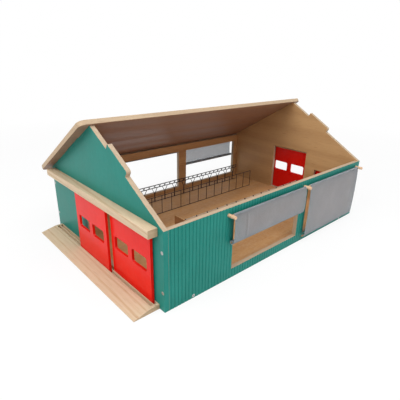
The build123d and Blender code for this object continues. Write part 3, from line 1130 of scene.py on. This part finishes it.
@dataclass
class Curtain:
    """One cloth curtain: a sleeve on its rod, a hanging sheet and a roll round its hem rod."""

    shop: Workshop
    place: str
    outward: float
    underside: float
    crease: float | None = None
    near_inset: float = 0.0
    still_to_fall: float = 0.0
    seed: float = 0.0
    wall: float = 0.2075
    rod_offset: float = 0.0062
    rod_height: float = 0.131
    sleeve: float = 0.003
    cloth: float = 0.0005
    shown_cloth: float = 0.00032
    core: float = 0.0018
    sway: float = 0.0013
    columns: int = 72
    sleeve_start: float = -64.0
    sleeve_steps: int = 25
    row_height: float = 0.0022
    fewest_rows: int = 26
    rod_rows: int = 4
    roll_rows: int = 6
    turn_steps: int = 20
    fewest_steps: int = 16
    waves: float = 3.0
    wave_height: float = 0.00025
    wrinkles: tuple[float, float] = (6.5, 7.0)
    wrinkle_height: float = 0.0005
    finer: float = 3.1
    fine_height: float = 0.00015
    curl_height: float = 0.0005
    curl_fall: float = 90.0
    crease_width: float = 0.0025
    crease_height: float = 0.0012
    lean: float = 0.0008
    hem_ease: float = 0.0003

    def __post_init__(self) -> None:
        """Work out the roll and the cloth's places from the CAD nodes."""
        low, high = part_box(f"{self.place}_hem_rod")
        self.roll_height = (low.z + high.z) / 2
        self.roll_offset = abs(low.x + high.x) / 2 - self.wall
        self.roll_radius = self.roll_height - self.underside
        low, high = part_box(f"{self.place}_curtain_sleeve")
        self.near_y = low.y + self.near_inset
        self.width = high.y - self.near_y
        self.sheet_top = self.rod_height - self.sleeve
        self.roll_top = self.roll_height + self.roll_radius
        self.rows = list(self.lay_out())
        self.lengths = [0.0]
        self.weave_rows = [0.0]
        for last, following in zip(self.rows, self.rows[1:]):
            step = math.dist(last[:2], following[:2])
            self.lengths.append(self.lengths[-1] + step)
            if following[2] > 0 and self.still_to_fall:
                step *= 1 + self.still_to_fall / (self.sheet_top - self.roll_top)
            self.weave_rows.append(self.weave_rows[-1] + step)

    def lay_out(self) -> Iterator[tuple[float, float, float]]:
        """Yield the cloth's path seen from its end: round the rod, down, and round the hem rod.

        Returns:
            For each row, its distance from the wall, its height, and how freely it hangs, 0 to 1.
        """
        turn = self.sleeve - self.cloth / 2
        for step in range(self.sleeve_steps + 1):
            share = step / self.sleeve_steps
            angle = math.radians(self.sleeve_start - (360 + self.sleeve_start) * share)
            yield *on_circle(self.rod_offset, self.rod_height, turn, angle), 0.0
        start = self.rod_offset + turn
        outer = self.roll_radius - self.cloth / 2
        drop = self.roll_offset + outer - start
        span = self.sheet_top - self.roll_top
        hanging = max(self.fewest_rows, round(span / self.row_height))
        steps = range(1, self.rod_rows)
        heights = [self.rod_height - self.sleeve * row / self.rod_rows for row in steps]
        heights += [self.sheet_top - span * row / hanging for row in range(hanging + 1)]
        steps = range(1, self.roll_rows)
        heights += [self.roll_top - self.roll_radius * row / self.roll_rows for row in steps]
        for height in heights:
            share = (self.rod_height - height) / (self.rod_height - self.roll_height)
            eased = share * share * (3 - 2 * share)
            free = (self.sheet_top - height) / (self.sheet_top - self.roll_height)
            yield start + drop * eased, height, math.sin(math.pi * min(max(free, 0.0), 1.0))
        turns = (outer - self.core) / self.cloth
        count = max(self.fewest_steps, round(turns * self.turn_steps))
        for step in range(count + 1):
            angle = -2 * math.pi * turns * step / count
            radius = outer - (outer - self.core) * step / count
            yield *on_circle(self.roll_offset, self.roll_height, radius, angle), 0.0

    def billow(self, across: float, free: float, along: float) -> float:
        """Return how far the cloth stands out from its path.

        Args:
            across: Place over the curtain's width, 0 to 1.
            free: How freely the cloth hangs there, 0 to 1.
            along: Place down the cloth, in metres.

        Returns:
            A distance in metres, outwards.
        """
        wave = math.sin(2 * math.pi * self.waves * across) * self.wave_height
        over, down = self.wrinkles
        place = Vector((across * over + self.seed, along * down, self.seed))
        wrinkle = mathutils.noise.noise(place) * self.wrinkle_height
        fine = mathutils.noise.noise(place * self.finer) * self.fine_height
        edge = min(across, 1 - across)
        curl = self.curl_height * math.exp(-edge * self.curl_fall)
        out = self.sway + wave + wrinkle + fine + curl
        if self.crease is not None:
            off = (across - self.crease) * self.width / self.crease_width
            lean = self.lean * max(0.0, 1 - across / self.crease)
            out += self.crease_height * math.exp(-off * off) + lean
        return out * math.sqrt(free)

    def model_sheet(self) -> Piece:
        """Model the cloth along its path, with its flat coordinates.

        Returns:
            The cloth, as a thin closed sheet.
        """
        last = len(self.rows) - 1
        counts = {"x_subdivisions": self.columns, "y_subdivisions": last}
        piece = primitive(bpy.ops.mesh.primitive_grid_add, size=1.0, **counts)
        piece.name = f"{self.place}_curtain_cloth"
        flat_places: list[tuple[float, float]] = []
        billows: list[float] = []
        for vertex in piece.data.vertices:
            across = vertex.co.x + 0.5
            row = min(last, max(0, round((vertex.co.y + 0.5) * last)))
            offset, height, free = self.rows[row]
            billows.append(self.billow(across, free, self.lengths[row]))
            flat_places.append((across * self.width, self.weave_rows[row]))
            vertex.co = (
                self.outward * (self.wall + offset),
                self.near_y + across * self.width,
                height,
            )
        flat = piece.data.uv_layers.active
        flat.name = "Flat"
        for loop in piece.data.loops:
            flat.data[loop.index].uv = flat_places[loop.vertex_index]
        apply_modifier(
            piece, "SOLIDIFY", thickness=self.shown_cloth, offset=0.0, use_even_offset=False
        )
        # The two sides are moved alike, so the cloth keeps its thickness.
        for index, vertex in enumerate(piece.data.vertices):
            vertex.co.x += self.outward * billows[index % len(billows)]
        point_outwards(piece)
        bpy.ops.object.shade_smooth()
        return piece

    def build(self) -> None:
        """Build the cloth and its hem rod."""
        piece = self.model_sheet()
        self.shop.paint(piece, CURTAIN_CLOTH)
        hem_body = f"{self.place}_hem"
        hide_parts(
            f"{self.place}_curtain",
            f"{self.place}_curtain_sleeve",
            f"{self.place}_curtain_roll",
        )
        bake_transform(piece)
        # The hem dowel's wood is darkened with painted shade.
        cut = {"ease": self.hem_ease, "name": f"{self.place}_hem_dowel"}
        hem = self.shop.dress_board(f"{self.place}_hem_rod", hem_body, "hem_rod", HEM_WOOD_PAINTED_SHADE, **cut)
        log.info("%s: cut to %.0f by %.0f mm", piece.name, self.width * 1e3, self.lengths[-1] * 1e3)


@dataclass
class WirePens:
    """The three wire fences and the short board that closes a pen."""

    shop: Workshop
    feed_places: int = 12
    stall_bars: int = 14
    alley_posts: int = 14
    rail_radius: float = 0.0009
    bar_radius: float = 0.0008
    fork_radius: float = 0.0009
    link_radius: float = 0.00088
    band_height: float = 0.0095
    link_height: float = 0.0064
    link_length: float = 0.0152
    neck_height: float = 0.014
    neck_spread: float = 0.0075
    bend: float = 0.0008
    rail_lift: float = 0.0011
    middle_rail: float = 0.024
    first_post: float = 0.0017
    knob_radius: float = 0.0016
    knob_height: float = 0.0031
    knob_round: float = 0.0006
    knob_sides: int = 14
    wire_sides: int = 10
    fork_sides: int = 8
    link_sides: int = 20
    fork_gap: float = 0.7
    board_ease: float = 0.0003

    def build(self) -> None:
        """Build and dress the fences and the board."""
        self.build_feed_fence()
        self.build_stall_fence()
        self.build_alley_fence()
        self.shop.dress_board("pen_board", "barn", "board_wood", PEN_WOOD, ease=self.board_ease)

    def straight_wire(self, start: Point, end: Point, radius: float) -> Piece:
        """Model a straight wire with rounded ends.

        Args:
            start: Where it starts.
            end: Where it ends.
            radius: Its radius.

        Returns:
            The wire.
        """
        line = Vector(end) - Vector(start)
        wire = primitive(
            bpy.ops.mesh.primitive_cylinder_add,
            vertices=self.wire_sides,
            radius=radius,
            depth=line.length,
            location=(Vector(start) + Vector(end)) / 2,
            rotation=line.to_track_quat("Z", "Y").to_euler(),
        )
        round_ends(wire, radius / 2, 2)
        return wire

    def rail(self, node: str, height: float) -> Piece:
        """Model a rail along the whole of a fence.

        Args:
            node: The fence's CAD node.
            height: How far the rail's middle is above the fence's foot.

        Returns:
            The rail.
        """
        low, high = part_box(node)
        x, z = (low.x + high.x) / 2, low.z + height
        return self.straight_wire((x, low.y, z), (x, high.y, z), self.rail_radius)

    def row(
        self, model: Piece, first: Point, pitch: float, count: int
    ) -> list[Piece]:
        """Set copies of a model in a row from front to rear, and delete the model.

        Args:
            model: What is copied.
            first: How far the first copy is from the model.
            pitch: How far each copy is from the one before.
            count: How many copies there are.

        Returns:
            The copies.
        """
        x, y, z = first
        copies = [copied(model, (x, y + number * pitch, z)) for number in range(count)]
        bpy.data.objects.remove(model)
        return copies

    def finish_fence(
        self, name: str, parts: Sequence[Piece], node: str, slot: str, finish: Finish
    ) -> None:
        """Join a fence's parts, dress them and let them stand for the CAD node.

        Args:
            name: The piece's name.
            parts: The parts, which are used up.
            node: The fence's CAD node.
            slot: The record's material slot for the piece.
            finish: What it is finished with.
        """
        fence = joined(name, parts)
        smooth(fence)
        self.shop.paint(fence, finish)
        self.shop.hand_over(fence, "barn", slot, node)

    def model_link(self) -> Piece:
        """Model one oval link of bent wire.

        Returns:
            The link, upright in the YZ plane at the origin.
        """
        radius = self.link_height / 2
        stretch = (self.link_length - self.link_height) / 2
        link = primitive(
            bpy.ops.mesh.primitive_circle_add,
            vertices=self.link_sides,
            radius=radius,
            fill_type="NOTHING",
        )
        for side in (-1.0, 1.0):
            choose(link, "VERT", lambda place, normal: place.x * side > self.link_radius / 5)
            bpy.ops.transform.translate(value=(side * stretch, 0.0, 0.0))
            leave()
        pick(link)
        bpy.ops.object.convert(target="CURVE")
        link = newest()
        link.data.bevel_depth = self.link_radius
        link.data.bevel_resolution = 1
        bpy.ops.object.convert(target="MESH")
        link = newest()
        link.matrix_world = Matrix(((0, 0, 1, 0), (1, 0, 0, 0), (0, 1, 0, 0), (0, 0, 0, 1)))
        set_in_place(link)
        point_outwards(link)
        return link

    def model_fork(self, stem: float) -> Piece:
        """Model the two bent wires of a Y-shaped post, at the origin.

        Args:
            stem: How long its upright stem is.

        Returns:
            The fork.
        """
        moves = (
            (0.0, stem - self.bend),
            (self.bend / 2, 2 * self.bend),
            (self.neck_spread - self.bend, self.neck_height - 2 * self.bend),
            (self.bend / 4, 1.5 * self.bend),
        )
        halves = []
        for side in (-1.0, 1.0):
            half = primitive(
                bpy.ops.mesh.primitive_circle_add,
                vertices=self.fork_sides,
                radius=self.fork_radius,
                fill_type="NGON",
                location=(0.0, side * self.fork_radius * self.fork_gap, 0.0),
            )
            edit(half)
            for aside, up in moves:
                move = (0.0, side * aside, up)
                bpy.ops.mesh.extrude_region_move(TRANSFORM_OT_translate={"value": move})
            leave()
            set_in_place(half)
            point_outwards(half)
            halves.append(half)
        return joined("fork", halves)

    def build_feed_fence(self) -> None:
        """The feed fence: three rails, oval links between the upper two, and Y-shaped posts."""
        low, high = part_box("feed_fence")
        x, height = (low.x + high.x) / 2, high.z - low.z
        pitch = (high.y - low.y) / self.feed_places
        parts = [
            self.rail("feed_fence", self.rail_lift),
            self.rail("feed_fence", height - self.band_height + self.rail_lift),
            self.rail("feed_fence", height - self.rail_radius),
        ]
        first_link = (x, low.y + pitch / 4, high.z - self.band_height / 2)
        parts += self.row(self.model_link(), first_link, pitch / 2, 2 * self.feed_places)
        fork = self.model_fork(height - self.band_height - self.neck_height)
        parts += self.row(fork, (x, low.y + pitch / 2, low.z), pitch, self.feed_places)
        self.finish_fence("feed_fence_wires", parts, "feed_fence", "dark_wire", DARK_WIRE)

    def build_stall_fence(self) -> None:
        """The stall fence: two rails and plain upright bars."""
        low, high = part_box("stall_fence")
        x, height = (low.x + high.x) / 2, high.z - low.z
        levels = (self.rail_radius, height - self.rail_radius)
        parts = [self.rail("stall_fence", level) for level in levels]
        bar = self.straight_wire((x, low.y, low.z), (x, low.y, high.z), self.bar_radius)
        first = self.rail_radius
        pitch = (high.y - low.y - 2 * first) / (self.stall_bars - 1)
        parts += self.row(bar, (0.0, first, 0.0), pitch, self.stall_bars)
        self.finish_fence("stall_fence_wires", parts, "stall_fence", "dark_wire", DARK_WIRE)

    def build_alley_fence(self) -> None:
        """The alley fence: three rails, posts, and a dark knob on each post."""
        low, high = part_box("alley_fence")
        x = (low.x + high.x) / 2
        top = high.z - self.rail_radius
        levels = (self.rail_lift, self.middle_rail, top - low.z - self.rail_lift)
        parts = [self.rail("alley_fence", level) for level in levels]
        post = self.straight_wire((x, low.y, low.z), (x, low.y, top), self.bar_radius)
        first = (0.0, self.first_post, 0.0)
        pitch = (high.y - low.y - 2 * self.first_post) / (self.alley_posts - 1)
        parts += self.row(post, first, pitch, self.alley_posts)
        knob = primitive(
            bpy.ops.mesh.primitive_cylinder_add,
            vertices=self.knob_sides,
            radius=self.knob_radius,
            depth=self.knob_height,
            location=(x, low.y, high.z - self.knob_height / 2),
        )
        round_ends(knob, self.knob_round, 3)
        knobs = self.row(knob, first, pitch, self.alley_posts)
        self.finish_fence("alley_fence_wires", parts, "alley_fence", "alley_wire", ALLEY_WIRE)
        self.finish_fence("alley_fence_knobs", knobs, "alley_fence", "alley_wire", KNOB_LACQUER)


@dataclass
class Screws:
    """The countersunk screws with cross recesses that hold the boards together."""

    shop: Workshop
    head: float = 0.0031
    shank: float = 0.0015
    countersink: float = 0.0017
    length: float = 0.025
    screw_x: float = 0.203
    wall: float = 0.2075
    gable_heights: tuple[float, ...] = (0.035, 0.107)
    floor_height: float = 0.0045
    floor_starts: tuple[float, ...] = (0.06, 0.55)
    first_turn: float = 23.0
    next_turn: float = 37.0
    shank_margin: float = 0.003
    tip: float = 0.0027
    tip_share: float = 0.15
    rim: float = 0.0004
    dome: float = 0.00008
    recess: Point = (0.0034, 0.0007, 0.0024)
    recess_share: float = 0.45
    sides: int = 24

    def build(self) -> None:
        """Model one screw, and set copies of it in the gables and the walls."""
        screw = self.model_screw()
        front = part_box("front_gable")[0].y
        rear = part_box("rear_gable")[1].y
        gable_places = [
            ((side * self.screw_x, y, height), (0.0, out, 0.0))
            for y, out in ((front, -1.0), (rear, 1.0))
            for side in (-1, 1)
            for height in self.gable_heights
        ]
        floor_places = [
            ((side * self.wall, front + start, self.floor_height), (float(side), 0.0, 0.0))
            for side in (-1, 1)
            for start in self.floor_starts
        ]
        for node, places in (("gable_screws", gable_places), ("floor_screws", floor_places)):
            parts = []
            for number, (place, outward) in enumerate(places):
                copy = copied(screw)
                turn = Vector(outward).to_track_quat("Z", "Y").to_matrix().to_4x4()
                angle = math.radians(self.first_turn + self.next_turn * number)
                spin = Matrix.Rotation(angle, 4, "Z")
                copy.matrix_world = Matrix.Translation(place) @ turn @ spin
                parts.append(copy)
            piece = joined(f"{node}_set", parts)
            smooth(piece, 35)
            self.shop.paint(piece, STEEL)
            self.shop.hand_over(piece, "barn", "steel", node)
        bpy.data.objects.remove(screw)

    def model_screw(self) -> Piece:
        """Model one screw.

        Returns:
            The screw, its head's face up at the origin.
        """
        screw = primitive(
            bpy.ops.mesh.primitive_cylinder_add,
            vertices=self.sides,
            radius=self.head,
            depth=self.countersink,
            location=(0.0, 0.0, -self.countersink / 2),
        )
        set_in_place(screw)
        choose(screw, "FACE", lambda place, normal: normal.z < -FLAT)
        share = self.shank / self.head
        bpy.ops.transform.resize(value=(share, share, 1.0))
        straight = self.length - self.countersink - self.shank_margin
        for stretch in (straight, self.tip):
            down = {"value": (0.0, 0.0, -stretch)}
            bpy.ops.mesh.extrude_region_move(TRANSFORM_OT_translate=down)
        bpy.ops.transform.resize(value=(self.tip_share, self.tip_share, 1.0))
        leave()
        choose(screw, "FACE", lambda place, normal: normal.z > FLAT)
        bpy.ops.mesh.inset(thickness=self.rim, depth=self.dome)
        leave()
        cutters = []
        for turn in (0.0, math.pi / 2):
            turned = (0.0, 0.0, turn)
            cutter = primitive(bpy.ops.mesh.primitive_cube_add, size=1.0, rotation=turned)
            cutter.scale = self.recess
            set_in_place(cutter)
            choose(cutter, "FACE", lambda place, normal: normal.z < -FLAT)
            bpy.ops.transform.resize(value=(self.recess_share, self.recess_share, 1.0))
            leave()
            cutters.append(cutter)
        for cutter in cutters:
            apply_modifier(screw, "BOOLEAN", operation="DIFFERENCE", object=cutter, solver="EXACT")
            bpy.data.objects.remove(cutter)
        return screw


@dataclass
class Studio:
    """A pale floor, plain soft light and the camera."""

    camera_place: Point = (0.5781, -0.5584, 0.3786)
    azimuth: float = 47.6
    elevation: float = 22.0
    roll: float = 1.2
    lens: float = 31.93
    sensor: float = 36.0
    aim: Point = (0.0, 0.0, 0.1)
    floor_size: float = 14.0
    floor_drop: float = 0.0002
    shade_end: float = 0.7
    white_start: float = 1.7
    middle_white: float = 0.86
    lamps: tuple[tuple[str, Point, float, float], ...] = (
        ("key_lamp", (-0.1, -1.7, 1.6), 1.4, 22.0),
        ("fill_lamp", (1.5, -0.1, 1.3), 1.6, 11.0),
        ("top_lamp", (0.6, 0.0, 2.0), 1.5, 18.0),
    )

    def build(self) -> None:
        """Build the floor, the world, the lamps and the camera."""
        self.build_floor()
        self.build_world()
        for lamp in self.lamps:
            self.build_lamp(*lamp)
        self.build_camera()

    def build_floor(self) -> None:
        """A wide pale floor that stays white to the camera but keeps the shadow."""
        under = (0.0, 0.0, -self.floor_drop)
        floor = primitive(bpy.ops.mesh.primitive_plane_add, size=self.floor_size, location=under)
        floor.name = "studio_floor"
        material = bpy.data.materials.new("pale_studio_floor")
        tree = empty_tree(material)
        place = tree.add("ShaderNodeTexCoord").outputs["Object"]
        tone = tree.remap(tree.noise(place, 3.0, 3.0), 0.3, 0.7)
        color = tree.mix(tone, rgb(236, 236, 235), rgb(242, 242, 241))
        matt = tree.add("ShaderNodeBsdfDiffuse", {"Color": color}).outputs[0]
        white = tree.add("ShaderNodeEmission", {"Color": WHITE, "Strength": 1.0}).outputs[0]
        seen = tree.add("ShaderNodeLightPath").outputs
        direct = tree.math("MAXIMUM", seen["Is Camera Ray"], seen["Is Glossy Ray"])
        direct = tree.math("MAXIMUM", direct, seen["Is Transmission Ray"])
        distance = tree.add("ShaderNodeVectorMath", {0: place}, operation="LENGTH").outputs["Value"]
        bright = tree.remap(distance, self.shade_end, self.white_start, self.middle_white, 1.0)
        both = tree.add("ShaderNodeMixShader", {0: tree.times(direct, bright), 1: matt, 2: white})
        tree.add("ShaderNodeOutputMaterial", {"Surface": both.outputs[0]})
        floor.data.materials.append(material)

    def build_world(self) -> None:
        """Soft even light from all round, and white behind the barn."""
        world = bpy.data.worlds.new("studio_world")
        bpy.context.scene.world = world
        tree = empty_tree(world)
        sky = {"Color": (0.95, 0.97, 1.0, 1.0), "Strength": 0.5}
        soft = tree.add("ShaderNodeBackground", sky).outputs[0]
        white = tree.add("ShaderNodeBackground", {"Color": WHITE, "Strength": 1.0}).outputs[0]
        seen = tree.add("ShaderNodeLightPath").outputs
        direct = tree.math("MAXIMUM", seen["Is Camera Ray"], seen["Is Transmission Ray"])
        both = tree.add("ShaderNodeMixShader", {0: direct, 1: soft, 2: white})
        tree.add("ShaderNodeOutputWorld", {"Surface": both.outputs[0]})

    def build_lamp(self, name: str, place: Point, size: float, power: float) -> None:
        """Set up a square soft lamp that looks at the barn's middle.

        Args:
            name: The lamp's name.
            place: Where it stands.
            size: How wide it is.
            power: Its power in watts.
        """
        lamp = bpy.data.lights.new(name, "AREA")
        lamp.shape = "SQUARE"
        lamp.size = size
        lamp.energy = power
        thing = bpy.data.objects.new(name, lamp)
        bpy.context.scene.collection.objects.link(thing)
        thing.location = place
        look = Vector(self.aim) - Vector(place)
        thing.rotation_euler = look.to_track_quat("-Z", "Y").to_euler()

    def build_camera(self) -> None:
        """The camera at the photograph's viewing angle."""
        turn, rise, roll = map(math.radians, (self.azimuth, self.elevation, self.roll))
        back = Vector(
            (math.sin(turn) * math.cos(rise), -math.cos(turn) * math.cos(rise), math.sin(rise))
        )
        level = Vector((math.cos(turn), math.sin(turn), 0.0))
        up = back.cross(level)
        right = level * math.cos(roll) + up * math.sin(roll)
        upright = up * math.cos(roll) - level * math.sin(roll)
        camera = bpy.data.cameras.new("photo_camera")
        camera.lens = self.lens
        camera.sensor_width = self.sensor
        camera.clip_start = 0.01
        camera.clip_end = 50.0
        thing = bpy.data.objects.new("photo_camera", camera)
        bpy.context.scene.collection.objects.link(thing)
        turned = Matrix((right, upright, back)).transposed().to_4x4()
        thing.matrix_world = Matrix.Translation(self.camera_place) @ turned
        bpy.context.scene.camera = thing


def main() -> None:
    """Build every sub-assembly round the frame, then the studio."""
    logging.basicConfig(level=logging.INFO, format="%(name)s: %(message)s")
    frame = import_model()
    EffectLibrary().build()
    shop = Workshop(frame["nodes"])
    BarnShell(shop).build()
    RoofPanel(shop).build()
    DoorTracks(shop).build()
    SlidingDoors(shop).build()
    CurtainGear(shop).build()
    for curtain in (
        Curtain(shop, "left_front", -1.0, underside=0.118, still_to_fall=0.1055, seed=1.0),
        Curtain(shop, "left_rear", -1.0, underside=0.075, seed=2.3),
        Curtain(shop, "right_front", 1.0, underside=0.075, crease=0.157, seed=4.1, columns=120),
        Curtain(shop, "right_rear", 1.0, underside=0.0125, near_inset=0.006, seed=6.7),
    ):
        curtain.build()
    WirePens(shop).build()
    Screws(shop).build()
    Studio().build()
    bpy.context.scene.view_settings.view_transform = "Standard"


if __name__ == "__main__":
    main()
